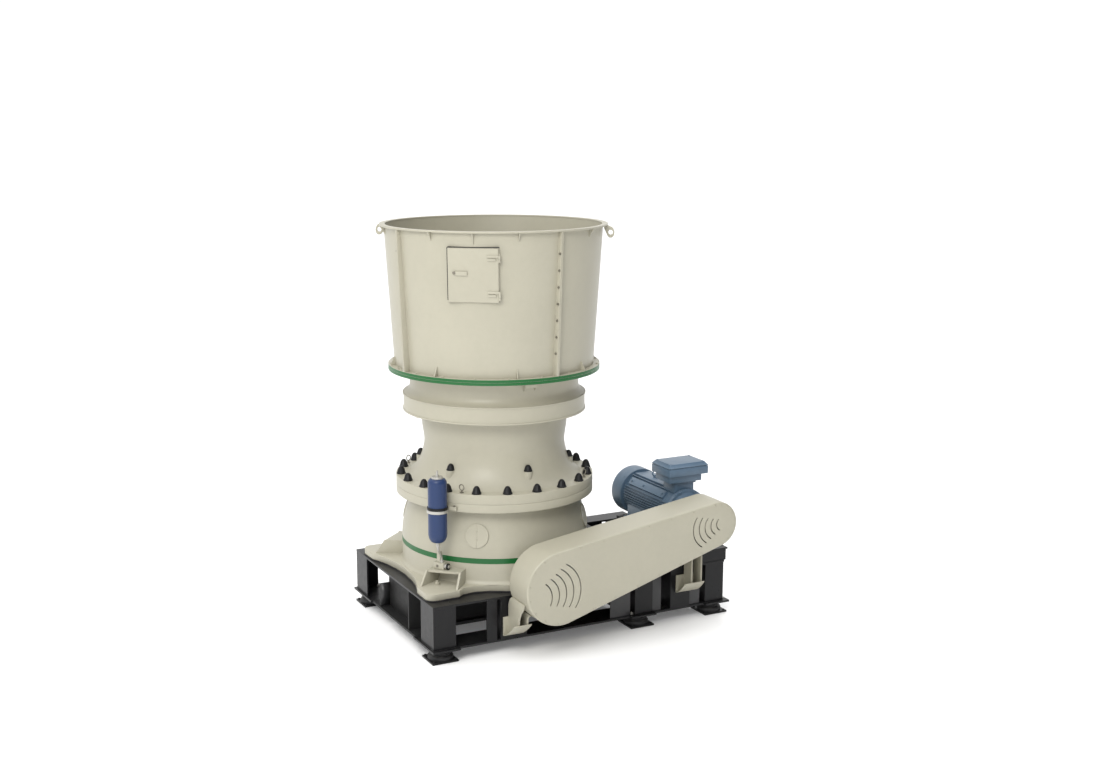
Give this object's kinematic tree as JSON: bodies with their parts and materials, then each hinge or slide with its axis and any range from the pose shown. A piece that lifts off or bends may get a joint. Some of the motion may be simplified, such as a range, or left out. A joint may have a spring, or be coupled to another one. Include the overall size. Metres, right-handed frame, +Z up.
{
  "type": "cone crusher",
  "caption": "Cone crusher under a round feed hopper, driven by an electric motor through a guarded belt, all on a plate sub-frame with rubber feet.",
  "frame": {"origin": "on the floor at the centre of the machine's footprint box", "axes": "+Z up, +X along the sub-frame from the crusher towards the motor, -Y towards the belt guard side"},
  "size_m": [4.058, 3.146, 4.92],
  "materials": {
    "cream_paint": "satin cream paint",
    "green_paint": "satin green paint",
    "black_paint": "satin black paint",
    "blue_paint": "gloss blue paint",
    "slate_paint": "satin slate blue paint",
    "turned_steel": "turned steel",
    "manganese_steel": "worn manganese steel",
    "black_rubber": "black rubber, with a black painted floor plate on the feet"
  },
  "bodies": {
    "machine": {"accumulator_bottle": "blue_paint", "accumulator_clamp": "cream_paint", "accumulator_pipe": "cream_paint", "base_packing": "black_rubber", "bottom_shell": "cream_paint", "concave_liner": "manganese_steel", "countershaft_housing": "cream_paint", "cross_beam_centre": "black_paint", "cross_beam_motor": "black_paint", "cross_beam_right": "black_paint", "crusher_pulley": "turned_steel", "drive_belt": "black_rubber", "dust_ring": "cream_paint", "end_strip_bottom": "black_paint", "end_strip_top": "black_paint", "feed_neck": "cream_paint", "front_girder": "black_paint", "guard_back": "cream_paint", "guard_bracket_left": "cream_paint", "guard_bracket_right": "cream_paint", "guard_shell": "cream_paint", "hopper_base_flange": "green_paint", "hopper_rim": "cream_paint", "hopper_wall_front": "cream_paint", "hopper_wall_left": "cream_paint", "hopper_wall_rear": "cream_paint", "hopper_wall_right": "cream_paint", "inner_beam_front": "black_paint", "inner_beam_rear": "black_paint", "isolator_front_left": "black_rubber", "isolator_front_middle": "black_rubber", "isolator_front_right": "black_rubber", "isolator_rear_left": "black_rubber", "isolator_rear_middle": "black_rubber", "isolator_rear_right": "black_rubber", "mantle": "manganese_steel", "motor_body": "slate_paint", "motor_end_shield": "slate_paint", "motor_fan_cowl": "slate_paint", "motor_platform": "black_paint", "motor_pulley": "turned_steel", "motor_rail_left": "black_paint", "motor_rail_right": "black_paint", "motor_terminal_box": "slate_paint", "rear_girder": "black_paint", "shell_cover_front": "cream_paint", "shell_cover_left": "cream_paint", "shell_cover_rear": "cream_paint", "shell_cover_right": "cream_paint", "spider": "cream_paint", "top_shell": "cream_paint", "valve_block": "cream_paint"},
    "door": {"inspection_door": "cream_paint"},
    "latch": {"door_latch": "cream_paint"}
  },
  "joints": [
    {"name": "door_hinge", "type": "hinge", "parent": "machine", "child": "door", "pos_m": [-1.15224, -1.0424, 4.42637], "axis": [-0.0366, -0.0509, 0.998], "range_deg": [0, 105]},
    {"name": "latch_turn", "type": "hinge", "parent": "door", "child": "latch", "pos_m": [-1.57086, -0.73899, 4.45656], "axis": [-0.5824, -0.8105, -0.0627], "range_deg": [0, 90]}
  ]
}
